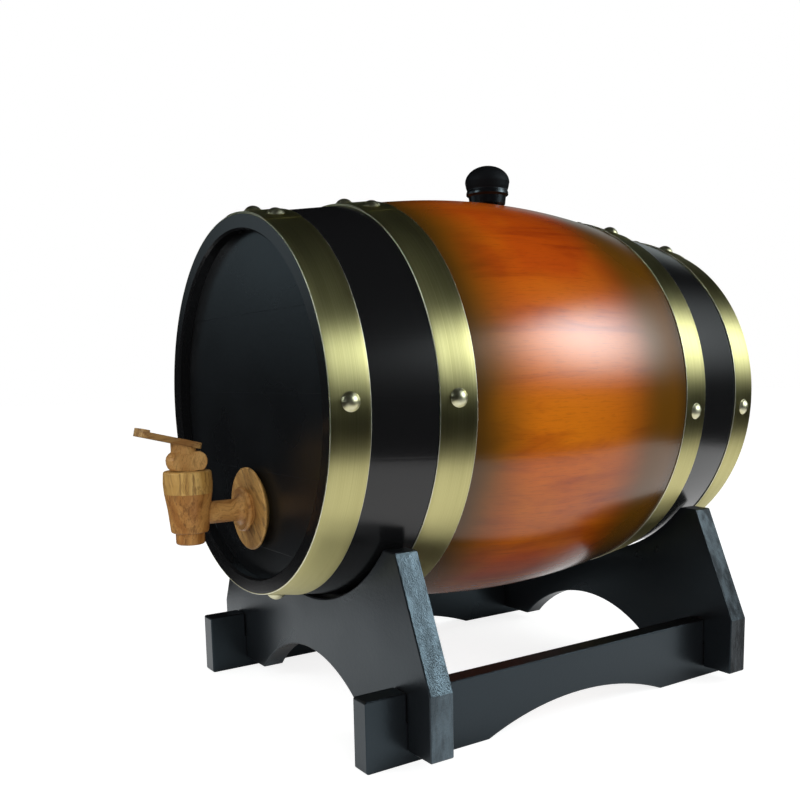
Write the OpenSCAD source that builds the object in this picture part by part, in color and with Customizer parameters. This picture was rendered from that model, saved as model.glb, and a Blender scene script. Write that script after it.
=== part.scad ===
// Small oak cask on a cradle stand, with a wooden plug tap at the front and a bung on top.
// Millimetres, +Z up. The cask lies along Y with its tap at the -Y end, and the stand rests on z = 0.
// The origin is under the middle of the whole object's length and width.

/* [Cask] */
// Length of the cask over its two ends
cask_length = 230; // [215:1:250]
// Diameter of the staves at each end
end_d = 153; // [148:1:158]
// Diameter of the staves at the middle
bilge_d = 180.4; // [176:1:186]
// Length of the curved middle of the cask, which runs straight from there to the ends
belly_len = 100; // [60:1:105]
// Thickness of the staves
stave_t = 6; // [5:0.5:8]
// Width of the wide stave on top that holds the bung, as an angle
bung_stave_deg = 19.6; // [14:0.2:26]
// Height of the cask's axis above the floor
axis_h = 132.8; // [131:0.5:140]

/* [Heads] */
// Depth of each head below the end of the cask
head_recess = 5.4; // [4.6:0.2:8]
// Thickness of the heads
head_t = 8; // [6:0.5:11]
// Thickness of a head's tongue, which stands in the groove of the staves
tongue_t = 3.6; // [2.4:0.2:4.6]
// Depth of the groove in the staves
groove_depth = 2.4; // [1.4:0.2:3]
// Width of the boards in the middle of each head
head_board_w = 32; // [29:1:36]

/* [Hoops and rivets] */
// Width of each hoop
hoop_w = 15.3; // [12:0.3:18]
// Thickness of the hoop band
hoop_t = 0.4; // [0.3:0.1:1.2]
// Distance of the quarter hoops' middles from the ends of the cask
quarter_hoop_at = 49.5; // [48:0.5:52]
// Diameter of a rivet's head
rivet_head_d = 7.2; // [5:0.2:8]
// Height of a rivet's head
rivet_head_h = 2; // [1:0.1:2.6]
// Diameter of a rivet's shank
rivet_shank_d = 2.4; // [1.6:0.1:3]
// How far a rivet's shank goes into the stave
rivet_bite = 2.4; // [1:0.2:3.4]
// Angle of the front hoops' first rivet from the top
front_hoop_turn = 3; // [-8:1:8]
// Angle of the rear hoops' first rivet from the top
rear_hoop_turn = 6.5; // [-8:0.5:8]

/* [Bung] */
// Distance of the bung behind the middle of the cask
bung_at = 15.6; // [0:0.1:25]
// Diameter of the bung's domed cap
bung_cap_d = 21; // [18:0.2:24]
// Height of the bung above the stave
bung_h = 19.6; // [17:0.1:24]
// Height of the cap's widest place above the stave
bung_widest_h = 12; // [10.6:0.1:12.6]
// Diameter of the bung hole in the stave
bung_hole_d = 9.8; // [8:0.2:12]
// Length of the bung's stem below the stave's outer surface
bung_stem_len = 11; // [9:0.5:14]

/* [Tap] */
// Height of the tap's shank below the cask's axis
tap_drop = 41.8; // [38:0.2:46]
// Distance of the key's axis from the face of the front head
tap_reach = 28.85; // [27.6:0.05:34]
// Diameter of the shank
shank_d = 9.2; // [8.4:0.1:10]
// Diameter of the bore through the shank
shank_bore_d = 4; // [2.6:0.2:5]
// Diameter of the shank's collar
collar_d = 18.7; // [15:0.1:22]
// Diameter of the round plate against the head
rosette_d = 34.6; // [30:0.2:40]
// Thickness of the round plate
rosette_t = 3.7; // [3:0.1:5]
// Diameter of the cup at the top of the tap's body
cup_d = 19.5; // [18.4:0.1:22]
// Height of the cup
cup_h = 9; // [8:0.1:12]
// Diameter of the tap's body at its bottom
body_foot_d = 15; // [13.4:0.1:16]
// Height from the shank's axis to the joint between body and cup
body_rise = 8.8; // [6.6:0.1:9]
// Height from the shank's axis down to the body's foot
body_fall = 7.1; // [6.6:0.1:9]
// Diameter of the spout
spout_d = 11.5; // [9.6:0.1:12.6]
// Length of the spout below the body
spout_len = 4.8; // [3:0.1:12]
// Diameter of the outlet through the spout
outlet_d = 6; // [4.4:0.2:6.6]
// Diameter of the key's plug
plug_d = 8.4; // [7.2:0.1:8.8]

/* [Key and handle] */
// Diameter of the key's head
key_head_d = 16.4; // [14:0.1:18]
// Height of the key's head
key_head_h = 7.4; // [6:0.1:9]
// Width of the key's head across its two flats
key_flats_w = 8.4; // [7:0.1:12]
// Diameter of the key's neck
neck_d = 9.9; // [8:0.1:11]
// How far the neck stands off the key's axis, towards the handle's tip
neck_shift = 1.1; // [0:0.1:2]
// Height of the neck, at the key's axis, from the head to the handle
neck_h = 2; // [1.6:0.1:6]
// Distance of the handle's tip from the key's axis
handle_reach = 19.6; // [14:0.1:20]
// Length of the handle on the other side of the key's axis
handle_tail = 4.6; // [4.4:0.1:7]
// Width of the handle
handle_w = 12; // [8:0.5:14]
// Thickness of the handle
handle_t = 2.5; // [2:0.1:4]
// Angle at which the handle rises towards its tip
handle_tilt = 14; // [6:0.2:18]

/* [Stand] */
// How far the stand's middle lies behind the cask's middle
stand_shift = 2.85; // [0:0.05:4]
// Spacing of each cradle board's middle from its end of the cask, before the stand's shift
cradle_spacing = 30.4; // [29.5:0.1:31.5]
// Thickness of the cradle boards
cradle_t = 10.2; // [8:0.1:11]
// Width of the cradle boards
cradle_w = 187.4; // [182:0.2:196]
// Height of the cradle boards' bottoms above the floor
cradle_lift = 4.8; // [4:0.1:7]
// Height of the cradle boards' upright sides
cradle_side_h = 25.3; // [20:0.1:28]
// Height of the cradle's horns above the lowest line of the cask's belly
horn_h = 37.1; // [33.4:0.1:41.4]
// Width over the outer corners of the two horns
horn_w = 143.6; // [138:0.2:150]
// Half the width of the arch under each cradle board
cradle_arch_half = 48.7; // [40:0.1:52]
// Rise of the arch under each cradle board
cradle_arch_rise = 21.4; // [14:0.2:24]
// Length of the rails outside the middles of the two cradle boards, both ends together
rail_len = 46.5; // [36.8:0.1:50.8]
// Height of the rails
rail_h = 27.7; // [24:0.1:32]
// Thickness of the rails
rail_t = 8.7; // [7:0.1:10]
// Width of the stand over the outer faces of the rails
rail_span = 156.4; // [150:0.2:162]
// Half the width of the arch under each rail
rail_arch_half = 50.5; // [40:0.5:56]
// Rise of the arch under each rail
rail_arch_rise = 9.6; // [6:0.2:12]

/* [Hidden] */
$fn = 96;
// Overrun of the cuts
over = 1;
// A fine circle for the long, flat arcs
fine = 360;

// Clearances
// Between a hoop and the staves
hoop_gap = 0.04;
// Round a rivet's shank
rivet_fit = 0.05;
// Below the end of a rivet's shank in its hole
rivet_end_gap = 0.2;
// Round a head's tongue in its groove
head_fit = 0.1;
// Between the cask and its seats in the cradle boards
seat_gap = 0.4;
// Round the bung's stem in its hole
bung_fit = 0.06;
// Round the key's plug in its bore
plug_fit = 0.05;
// Between the underside of the key's head and the cup
key_gap = 0.3;
// Round the shank in the head and in the tap's body
shank_fit = 0.05;
// Round the tenon in the handle
tenon_fit = 0.05;
// Beside each board and rail where they cross
lap_fit = 0.1;

// Small sizes
// Bevel on the inner edge of the staves' ends
chime_bevel = 0.9;
// Angle from a hoop's first rivet to the rivet at the other end of its lap
lap_deg = 15.5;
// Length of the lap beyond its rivets
lap_end_deg = 5;
// Angles of the other rivets from the first one, on the front and on the rear hoops
front_rivets_deg = [84.5, 168, 253];
rear_rivets_deg = [87.5, 174, 261];
// Height of the bung's neck above the stave
bung_neck_h = 2;
// Height above the stave of the bead's foot, middle and top on the bung
bead_foot_h = 5.4;
bead_h = 7.2;
waist_h = 8.4;
// Diameters of the bung's neck, bead and waist
bung_neck_d = 16.9;
bung_neck_top_d = 17.7;
bead_d = 19.9;
waist_d = 19.2;
// Narrowing of the bung's stem over its length
stem_taper = 0.9;
// Edge rounding on the tap's turned pieces
round_r = 0.9;
// Thickness of the round plate's full rim, and the depth of the cove behind it
rosette_rim_t = 1.3;
rosette_cove = 4;
// Thickness of the collar's rim, its distance from the plate and the diameter of the groove there
collar_t = 2.2;
collar_gap = 1.3;
collar_groove_d = 14.5;
// Radius of the hollow between the collar and the shank
collar_flare = 2.6;
// How far the shank stands out behind the front head
shank_inside = 5;
// Wood left between the shank's socket and the plug's bore
socket_wall = 1.1;
// Height of the cup's widest place above its foot, as a share of the cup's height
cup_widest_share = 0.45;
// Narrowing of the cup at its top and at its foot
cup_draw_top = 0.5;
cup_draw_foot = 0.6;
// Diameter of the body at a place above the shank's axis, and the height of that place
body_mid_d = 16.8;
body_mid_h = 2.4;
// Depth of the plug below the shank's axis
plug_fall = 4;
// Depth of the plug's bore below the plug
plug_floor_gap = 0.5;
// Diameter of the way through the plug
port_d = 4;
// Outline of the key's head: width shares of its diameter at shares of its height
key_head_shares = [[0.80, 0], [0.91, 0.12], [0.98, 0.32], [1, 0.54], [0.96, 0.72], [0.86, 0.87], [0.70, 1]];
// Tenon on the key's neck and depth of its socket in the handle
tenon_d = 3.6;
tenon_h = 1.3;
// Length and height of the raised lip at the handle's tip
lip_len = 3;
lip_h = 0.8;
// Corner radius of the handle
handle_r = 2.2;

// Number of staves beside the wide one
plain_staves = 22;
plain_stave_deg = (360 - bung_stave_deg) / plain_staves;

// The cask's side is an arc over the middle that runs on straight to the ends, and is hollow
// instead of full where the middle is narrower than the ends.
// Half the tangent of the ends' slope follows from the drop in radius by repeated substitution.
end_r = end_d / 2;
bilge_r = bilge_d / 2;
belly_half = belly_len / 2;
cone_len = cask_length / 2 - belly_half;
slope_steps = 12;
function half_slope(t, steps) =
    steps == 0 ? t : half_slope((bilge_r - end_r) / (belly_half + 2 * cone_len / (1 - t * t)), steps - 1);
slope = 2 * atan(half_slope(0, slope_steps));
arc_r = belly_half / sin(slope);
arc_x = bilge_r - arc_r;
is_full = arc_r > 0;

// Radius and distance from the middle where the arc grown by g meets the straight end, and the
// radius of the straight end, grown by g, at the distance y from the middle
function tangent_x(g) = arc_x + (arc_r + g) * cos(slope);
function tangent_y(g) = (arc_r + g) * sin(slope);
function cone_r(y, g) = tangent_x(g) - (y - tangent_y(g)) * tan(slope);
function arc_side_r(y, g) = arc_x + sign(arc_r) * sqrt(pow(arc_r + g, 2) - y * y);
function side_r(y, g) = abs(y) > tangent_y(g) ? cone_r(abs(y), g) : arc_side_r(y, g);
// Angle at which the side leans in towards the nearer end at the distance y from the middle
function side_lean(y) = abs(y) > belly_half ? slope : asin(abs(y) / arc_r);

half_len = cask_length / 2;
lip_r = cone_r(half_len, -stave_t);
head_y = half_len - head_recess;
groove_r = cone_r(head_y, -stave_t) + groove_depth;
groove_w = tongue_t + 2 * head_fit;
tongue_r = groove_r - head_fit;
shoulder_r = cone_r(head_y, -stave_t) - head_fit;

// Edges between a head's boards, as heights from the cask's axis; the tap's board is the second
board_edges = [
    -end_r,
    -tap_drop - head_board_w / 2,
    -tap_drop + head_board_w / 2,
    -tap_drop + 3 * head_board_w / 2,
    -tap_drop + 5 * head_board_w / 2,
    end_r
];
head_boards = len(board_edges) - 1;
tap_board = 1;

// Places along the object
key_from_middle = head_y + tap_reach;
cask_y = (key_from_middle + handle_reach - half_len) / 2;
key_y = cask_y - key_from_middle;
head_face_y = cask_y - head_y;
bung_y = cask_y + bung_at;
stand_y = cask_y + stand_shift;
cradle_half = half_len - cradle_spacing;
front_cradle_y = stand_y - cradle_half;
rear_cradle_y = stand_y + cradle_half;
rail_half = cradle_half + rail_len / 2;
chime_hoop_y = half_len - hoop_w / 2;
quarter_hoop_y = half_len - quarter_hoop_at;

// Heights
bung_z = axis_h + side_r(bung_at, 0);
tap_z = axis_h - tap_drop;
body_top_z = tap_z + body_rise;
cup_top_z = body_top_z + cup_h;
head_z = cup_top_z + key_gap;
neck_z = head_z + key_head_h;
handle_z = neck_z + neck_h;
lap_z = (cradle_lift + rail_h) / 2;
horn_z = axis_h - bilge_r + horn_h;

plug_bore_d = plug_d + 2 * plug_fit;
socket_d = shank_d + 2 * shank_fit;
socket_floor = plug_bore_d / 2 + socket_wall;
collar_y = rosette_t + collar_gap;
tenon_at = neck_shift / cos(handle_tilt);

function two(n) = n < 10 ? str("0", n) : str(n);
function stave_name(n) = str("stave_", two(n));
function board_name(side, n) = str(side, "_head_board_", n + 1);

// Points of an arc from the angle a to the angle b about (x, y)
function arc(x, y, r, a, b, steps = 6) =
    [for (i = [0 : steps]) [x + r * cos(a + (b - a) * i / steps), y + r * sin(a + (b - a) * i / steps)]];

// Points of a quarter of an oval from its widest place up to its top on the axis
function oval_top(y, rx, ry, steps = 10) =
    [for (i = [0 : steps]) [rx * cos(90 * i / steps), y + ry * sin(90 * i / steps)]];

// Radius of a circle through the ends and the top of an arch
function arch_r(half, rise) = (half * half + rise * rise) / (2 * rise);

// Turns a shape from its own frame, with Z along the cask, to the cask's place
module on_cask() {
    translate([0, cask_y, axis_h]) rotate([-90, 0, 0]) children();
}

// Turns a shape about the cask's axis to an angle from the top, positive towards +X
module at_angle(deg) {
    rotate([0, 0, deg - 90]) children();
}

// Half section of the solid cask, grown outwards by g: two straight sides, whose corner at the
// middle is trimmed to the arc, or which are joined by a line that the hollow arc is cut from
module half_section(g) {
    ends_r = cone_r(half_len, g);
    corner_r = cone_r(0, g);
    joint = [tangent_x(g), tangent_y(g)];
    middle = is_full ? [[corner_r, 0]] : [[joint[0], -joint[1]], joint];
    difference() {
        polygon(concat([[0, -half_len], [ends_r, -half_len]], middle, [[ends_r, half_len], [0, half_len]]));
        if (is_full)
            difference() {
                translate([0, -joint[1]]) square([corner_r + over, 2 * joint[1]]);
                translate([arc_x, 0]) circle(r = arc_r + g, $fn = fine);
            }
        else
            translate([arc_x, 0]) circle(r = -arc_r - g, $fn = fine);
    }
}

// Section of a stave, with its groove for the head and its bevel at each end
module stave_section() {
    difference() {
        half_section(0);
        half_section(-stave_t);
        for (s = [-1, 1]) {
            translate([0, s > 0 ? head_y - groove_w : -head_y]) square([groove_r, groove_w]);
            polygon([
                [0, s * (half_len - chime_bevel)],
                [lip_r, s * (half_len - chime_bevel)],
                [lip_r + chime_bevel, s * half_len],
                [lip_r + chime_bevel, s * (half_len + over)],
                [0, s * (half_len + over)]
            ]);
        }
    }
}

// Where each hoop lies along the cask, and the angle of its first rivet
hoops = [
    [-chime_hoop_y, front_hoop_turn, front_rivets_deg],
    [-quarter_hoop_y, front_hoop_turn, front_rivets_deg],
    [quarter_hoop_y, rear_hoop_turn, rear_rivets_deg],
    [chime_hoop_y, rear_hoop_turn, rear_rivets_deg]
];
function rivet_degs(hoop) = [for (deg = concat([0, lap_deg], hoop[2])) hoop[1] + deg];
function lap_layers(n) = n < 2 ? 2 : 1;
// Length of a rivet's shank below its head
function rivet_len(n) = lap_layers(n) * hoop_t + rivet_bite;

// Puts a shape at a rivet's place on the outside of the hoop, with Z pointing out of the cask
module at_rivet(hoop, n) {
    y = hoop[0];
    at_angle(rivet_degs(hoop)[n])
        translate([side_r(y, 0), 0, y])
            rotate([0, 90 - sign(y) * side_lean(y), 0])
                translate([0, 0, hoop_gap + lap_layers(n) * hoop_t])
                    children();
}

// Pilot holes of the rivets of a hoop between two angles
module rivet_holes(hoop, from_deg, to_deg) {
    degs = rivet_degs(hoop);
    for (n = [0 : len(degs) - 1])
        for (turn = [0, -360])
            if (degs[n] + turn >= from_deg && degs[n] + turn < to_deg)
                at_rivet(hoop, n)
                    translate([0, 0, -rivet_len(n) - rivet_end_gap])
                        cylinder(d = rivet_shank_d + 2 * rivet_fit, h = rivet_len(n) + rivet_end_gap + over);
}

// Width of a rivet's hole as an angle, which is the most that it can reach into the next stave
rivet_reach_deg = 2 * asin((rivet_shank_d / 2 + rivet_fit) / (end_r - rivet_bite));

module stave(start_deg, width_deg, wood) {
    color(wood) difference() {
        on_cask() at_angle(start_deg) rotate_extrude(angle = width_deg) stave_section();
        on_cask()
            for (hoop = hoops)
                rivet_holes(hoop, start_deg - rivet_reach_deg, start_deg + width_deg + rivet_reach_deg);
    }
}

module plain_stave(n) {
    start = bung_stave_deg / 2 + (n - 1) * plain_stave_deg;
    stave(start > 180 ? start - 360 : start, plain_stave_deg, n % 2 == 0 ? "sienna" : "peru");
}

module bung_stave() {
    difference() {
        stave(-bung_stave_deg / 2, bung_stave_deg, "chocolate");
        translate([0, bung_y, bung_z - 2 * stave_t]) cylinder(d = bung_hole_d, h = 3 * stave_t);
    }
}

// A whole head, with its outer face at z = 0 and its inner side towards +Z
module head_disc() {
    rotate_extrude()
        polygon([
            [0, 0],
            [shoulder_r, 0],
            [shoulder_r, head_fit],
            [tongue_r, head_fit],
            [tongue_r, head_fit + tongue_t],
            [shoulder_r, head_fit + tongue_t],
            [shoulder_r, head_t],
            [0, head_t]
        ]);
}

// One board of a head: side is -1 at the front and 1 at the rear
module head_board(side, n) {
    color("dimgray") difference() {
        intersection() {
            translate([0, cask_y + side * head_y, axis_h]) rotate([side * 90, 0, 0]) head_disc();
            translate([-end_r, cask_y - half_len, axis_h + board_edges[n]])
                cube([end_d, cask_length, board_edges[n + 1] - board_edges[n]]);
        }
        if (side < 0 && n == tap_board)
            translate([0, head_face_y - over, tap_z])
                rotate([-90, 0, 0]) cylinder(d = socket_d, h = head_t + 2 * over);
    }
}

// Section of a band on the cask between two distances from its surface, at the hoop's place
module band_section(y, inner, outer) {
    intersection() {
        difference() {
            half_section(outer);
            half_section(inner);
        }
        translate([0, y - hoop_w / 2]) square([side_r(y, outer) + hoop_w, hoop_w]);
    }
}

module hoop(number) {
    place = hoops[number];
    color("goldenrod") on_cask() difference() {
        union() {
            at_angle(place[1] - lap_deg)
                rotate_extrude() band_section(place[0], hoop_gap, hoop_gap + hoop_t);
            at_angle(place[1] - lap_end_deg)
                rotate_extrude(angle = lap_deg + 2 * lap_end_deg)
                    band_section(place[0], hoop_gap + hoop_t / 2, hoop_gap + 2 * hoop_t);
        }
        rivet_holes(place, -180, 180);
    }
}

module front_chime_hoop() { hoop(0); }
module front_quarter_hoop() { hoop(1); }
module rear_quarter_hoop() { hoop(2); }
module rear_chime_hoop() { hoop(3); }

// A domed head on a plain shank of the length h, with the underside of the head at z = 0
module rivet(h) {
    dome_r = (pow(rivet_head_d / 2, 2) + pow(rivet_head_h, 2)) / (2 * rivet_head_h);
    intersection() {
        translate([0, 0, rivet_head_h - dome_r]) sphere(r = dome_r);
        cylinder(d = rivet_head_d + over, h = rivet_head_h + over);
    }
    translate([0, 0, -h]) cylinder(d = rivet_shank_d, h = h + rivet_head_h / 2);
}

module rivets(number) {
    color("gold") on_cask()
        for (n = [0 : len(rivet_degs(hoops[number])) - 1])
            at_rivet(hoops[number], n) rivet(rivet_len(n));
}

module front_chime_rivets() { rivets(0); }
module front_quarter_rivets() { rivets(1); }
module rear_quarter_rivets() { rivets(2); }
module rear_chime_rivets() { rivets(3); }

module bung() {
    stem_r = bung_hole_d / 2 - bung_fit;
    color("black") translate([0, bung_y, bung_z])
        rotate_extrude()
            polygon(concat(
                [
                    [0, -bung_stem_len],
                    [stem_r - stem_taper, -bung_stem_len],
                    [stem_r, 0],
                    [stem_r, bung_neck_h],
                    [bung_neck_d / 2, bung_neck_h],
                    [bung_neck_top_d / 2, bead_foot_h],
                    [(bung_neck_top_d + bead_d) / 4, bead_foot_h + (bead_h - bead_foot_h) / 4],
                    [bead_d / 2, (bead_foot_h + bead_h) / 2],
                    [bead_d / 2, bead_h],
                    [waist_d / 2, waist_h],
                    [(waist_d + bung_cap_d) / 4, (waist_h + bung_widest_h) / 2 - (bung_cap_d - waist_d) / 4]
                ],
                oval_top(bung_widest_h, bung_cap_d / 2, bung_h - bung_widest_h)
            ));
}

// Turns a shape about the shank's axis, with z = 0 at the head's face and +Z away from the cask
module on_shank() {
    translate([0, head_face_y, tap_z]) rotate([90, 0, 0]) children();
}

// Turns a shape about the key's axis, with z = 0 at the height of the shank's axis
module on_key() {
    translate([0, key_y, tap_z]) children();
}

module tap_rosette() {
    rim_r = rosette_d / 2;
    cove = rosette_t - rosette_rim_t;
    soft = rosette_rim_t / 2;
    color("burlywood") difference() {
        on_shank() rotate_extrude()
            polygon(concat(
                [[0, 0], [rim_r - rosette_cove, 0], [rim_r - rosette_cove / 2, cove / 2]],
                arc(rim_r - soft, cove + soft, soft, -60, 90),
                [[0, rosette_t]]
            ));
        on_shank() translate([0, 0, -over]) cylinder(d = socket_d, h = rosette_t + 2 * over);
    }
}

module tap_shank() {
    shank_r = shank_d / 2;
    collar_r = collar_d / 2;
    flare_y = collar_y + collar_t;
    shank_len = tap_reach - socket_floor - shank_fit;
    color("tan") on_shank() difference() {
        rotate_extrude()
            polygon(concat(
                [
                    [0, -head_t - shank_inside],
                    [shank_r, -head_t - shank_inside],
                    [shank_r, rosette_t],
                    [collar_groove_d / 2, rosette_t],
                    [collar_groove_d / 2, collar_y]
                ],
                arc(collar_r - collar_t / 2, collar_y + collar_t / 2, collar_t / 2, -90, 75),
                arc(shank_r + collar_flare, flare_y + collar_flare, collar_flare, -90, -180),
                [[shank_r, shank_len], [0, shank_len]]
            ));
        translate([0, 0, -head_t - shank_inside - over])
            cylinder(d = shank_bore_d, h = head_t + shank_inside + shank_len + 2 * over);
    }
}

module tap_body() {
    foot_r = body_foot_d / 2;
    spout_r = spout_d / 2;
    color("peru") on_key() difference() {
        rotate_extrude()
            polygon(concat(
                [[0, -body_fall - spout_len]],
                arc(spout_r - round_r, -body_fall - spout_len + round_r, round_r, -90, 0, 4),
                [[spout_r, -body_fall]],
                arc(foot_r - round_r, -body_fall + round_r, round_r, -90, 0, 4),
                [[body_mid_d / 2, body_mid_h], [(cup_d - cup_draw_foot) / 2, body_rise], [0, body_rise]]
            ));
        translate([0, 0, -plug_fall - plug_floor_gap])
            cylinder(d = plug_bore_d, h = plug_fall + plug_floor_gap + body_rise + over);
        translate([0, 0, -body_fall - spout_len - over])
            cylinder(d = outlet_d, h = body_fall + spout_len - plug_fall + over);
        rotate([-90, 0, 0]) cylinder(d = shank_bore_d, h = cup_d);
        translate([0, socket_floor, 0]) rotate([-90, 0, 0]) cylinder(d = socket_d, h = cup_d);
    }
}

module tap_cup() {
    widest = cup_widest_share * cup_h;
    top_r = (cup_d - cup_draw_top) / 2;
    color("wheat") on_key() translate([0, 0, body_rise]) difference() {
        rotate_extrude()
            polygon(concat(
                [[0, 0], [(cup_d - cup_draw_foot) / 2, 0], [cup_d / 2, widest]],
                arc(top_r - round_r, cup_h - round_r, round_r, 0, 90, 4),
                [[0, cup_h]]
            ));
        translate([0, 0, -over]) cylinder(d = plug_bore_d, h = cup_h + 2 * over);
    }
}

// Space above the underside of the handle, which rises towards -Y
module above_handle_underside() {
    block = 2 * handle_reach;
    translate([0, 0, handle_z - tap_z]) rotate([-handle_tilt, 0, 0])
        translate([-block / 2, -block / 2, 0]) cube([block, block, block]);
}

module tap_key() {
    head_bottom = head_z - tap_z;
    head_shape = [for (p = key_head_shares) [p[0] * key_head_d / 2, head_bottom + p[1] * key_head_h]];
    color("burlywood") on_key() {
        difference() {
            union() {
                translate([0, 0, -plug_fall]) cylinder(d = plug_d, h = plug_fall + head_bottom + round_r);
                intersection() {
                    rotate_extrude()
                        polygon(concat([[0, head_bottom]], head_shape, [[0, head_bottom + key_head_h]]));
                    translate([-key_flats_w / 2, -key_head_d / 2, head_bottom])
                        cube([key_flats_w, key_head_d, key_head_h]);
                }
                difference() {
                    translate([0, -neck_shift, head_bottom + key_head_h - round_r])
                        cylinder(d = neck_d, h = round_r + neck_h + handle_t);
                    above_handle_underside();
                }
                translate([0, 0, handle_z - tap_z]) rotate([-handle_tilt, 0, 0])
                    translate([0, -tenon_at, -tenon_h]) cylinder(d = tenon_d, h = 2 * tenon_h);
            }
            rotate([-90, 0, 0]) cylinder(d = port_d, h = plug_d);
            translate([0, 0, -plug_fall - over]) cylinder(d = port_d, h = plug_fall + over);
        }
    }
}

module tap_handle() {
    tip = handle_reach / cos(handle_tilt);
    tail = handle_tail / cos(handle_tilt);
    side = handle_w / 2 - handle_r;
    color("wheat") translate([0, key_y, handle_z]) rotate([-handle_tilt, 0, 0]) difference() {
        union() {
            handle_outline(tip, tail, side, handle_t);
            intersection() {
                handle_outline(tip, tail, side, handle_t + lip_h);
                translate([-handle_w, -tip - over, 0]) cube([2 * handle_w, lip_len + over, handle_t + lip_h]);
            }
        }
        translate([0, -tenon_at, -over])
            cylinder(d = tenon_d + 2 * tenon_fit, h = tenon_h + tenon_fit + over);
    }
}

// The handle's plan with four round corners, raised to the height h
module handle_outline(tip, tail, side, h) {
    linear_extrude(h)
        polygon(concat(
            arc(side, tail - handle_r, handle_r, 0, 90, 4),
            arc(-side, tail - handle_r, handle_r, 90, 180, 4),
            arc(-side, handle_r - tip, handle_r, 180, 270, 4),
            arc(side, handle_r - tip, handle_r, 270, 360, 4)
        ));
}

// A cradle board with its middle plane at the place y, seating the cask at its face nearer the middle
module cradle(y) {
    inner_face = abs(y - cask_y) - cradle_t / 2;
    seat_r = side_r(inner_face, 0) + seat_gap;
    arch = arch_r(cradle_arch_half, cradle_arch_rise);
    half = cradle_w / 2;
    color("darkslategray") translate([0, y + cradle_t / 2, 0]) rotate([90, 0, 0]) linear_extrude(cradle_t)
        difference() {
            polygon([
                [-half, cradle_lift],
                [half, cradle_lift],
                [half, cradle_lift + cradle_side_h],
                [horn_w / 2, horn_z],
                [-horn_w / 2, horn_z],
                [-half, cradle_lift + cradle_side_h]
            ]);
            translate([0, axis_h]) circle(r = seat_r, $fn = fine);
            translate([0, cradle_lift + cradle_arch_rise - arch]) circle(r = arch, $fn = fine);
            for (s = [-1, 1])
                translate([s * (rail_span - rail_t) / 2 - rail_t / 2 - lap_fit, cradle_lift - over])
                    square([rail_t + 2 * lap_fit, lap_z - cradle_lift + over]);
        }
}

module front_cradle() { cradle(front_cradle_y); }
module rear_cradle() { cradle(rear_cradle_y); }

// A rail on the side s, with an arch below and a slot from above for each cradle board
module rail(s) {
    arch = arch_r(rail_arch_half, rail_arch_rise);
    color("darkslategray") translate([s * (rail_span - rail_t) / 2 - rail_t / 2, stand_y, 0])
        rotate([90, 0, 90]) linear_extrude(rail_t)
            difference() {
                translate([-rail_half, 0]) square([2 * rail_half, rail_h]);
                translate([0, rail_arch_rise - arch]) circle(r = arch, $fn = fine);
                for (e = [-1, 1])
                    translate([e * cradle_half - cradle_t / 2 - lap_fit, lap_z])
                        square([cradle_t + 2 * lap_fit, rail_h - lap_z + over]);
            }
}

module left_rail() { rail(-1); }
module right_rail() { rail(1); }

bung_stave();
for (n = [1 : plain_staves])
    plain_stave(n);
for (n = [0 : head_boards - 1])
    head_board(-1, n);
for (n = [0 : head_boards - 1])
    head_board(1, n);
front_chime_hoop();
front_quarter_hoop();
rear_quarter_hoop();
rear_chime_hoop();
front_chime_rivets();
front_quarter_rivets();
rear_quarter_rivets();
rear_chime_rivets();
bung();
tap_rosette();
tap_shank();
tap_body();
tap_cup();
tap_key();
tap_handle();
front_cradle();
rear_cradle();
left_rail();
right_rail();
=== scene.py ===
"""Dresses the small oak cask dispenser.

Lacquered staves, brass hoops, black heads and stand, wooden tap.
"""
import math
import random

import bmesh
import bpy
from mathutils import Matrix, Vector


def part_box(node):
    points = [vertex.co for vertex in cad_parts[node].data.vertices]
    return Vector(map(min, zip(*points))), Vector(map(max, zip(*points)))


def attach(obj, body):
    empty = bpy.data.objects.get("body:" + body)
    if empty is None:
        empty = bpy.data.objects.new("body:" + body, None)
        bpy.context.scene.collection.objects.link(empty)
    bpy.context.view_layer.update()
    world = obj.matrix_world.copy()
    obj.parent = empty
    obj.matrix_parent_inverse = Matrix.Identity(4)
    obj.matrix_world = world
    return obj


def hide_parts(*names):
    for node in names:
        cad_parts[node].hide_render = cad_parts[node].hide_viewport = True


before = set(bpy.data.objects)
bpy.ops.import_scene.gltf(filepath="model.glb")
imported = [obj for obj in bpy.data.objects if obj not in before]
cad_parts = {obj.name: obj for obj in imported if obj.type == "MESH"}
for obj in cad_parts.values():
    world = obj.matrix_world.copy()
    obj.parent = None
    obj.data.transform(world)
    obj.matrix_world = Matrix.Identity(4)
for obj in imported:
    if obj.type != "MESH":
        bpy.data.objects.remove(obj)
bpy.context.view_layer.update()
MM = 0.001
TINY = 1e-6

# Sizes of the cask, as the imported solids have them
END_R = 76.5 * MM
BELLY_HALF = 50 * MM
STAVE_T = 6 * MM
CHIME_BEVEL = 0.9 * MM
PLAIN_STAVES = 22
BUNG_STAVE_DEG = 19.6
HOOP_GAP = 0.04 * MM
HOOP_T = 0.4 * MM
LAP_DEG = 15.5
LAP_END_DEG = 5.0
FRONT_RIVETS_DEG = (84.5, 168, 253)
REAR_RIVETS_DEG = (87.5, 174, 261)
FRONT_HOOP_TURN = 3.0
REAR_HOOP_TURN = 6.5
RIVET_HEAD_R = 3.6 * MM
RIVET_HEAD_H = 2.0 * MM
BUNG_HOLE_R = 4.9 * MM

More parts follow.
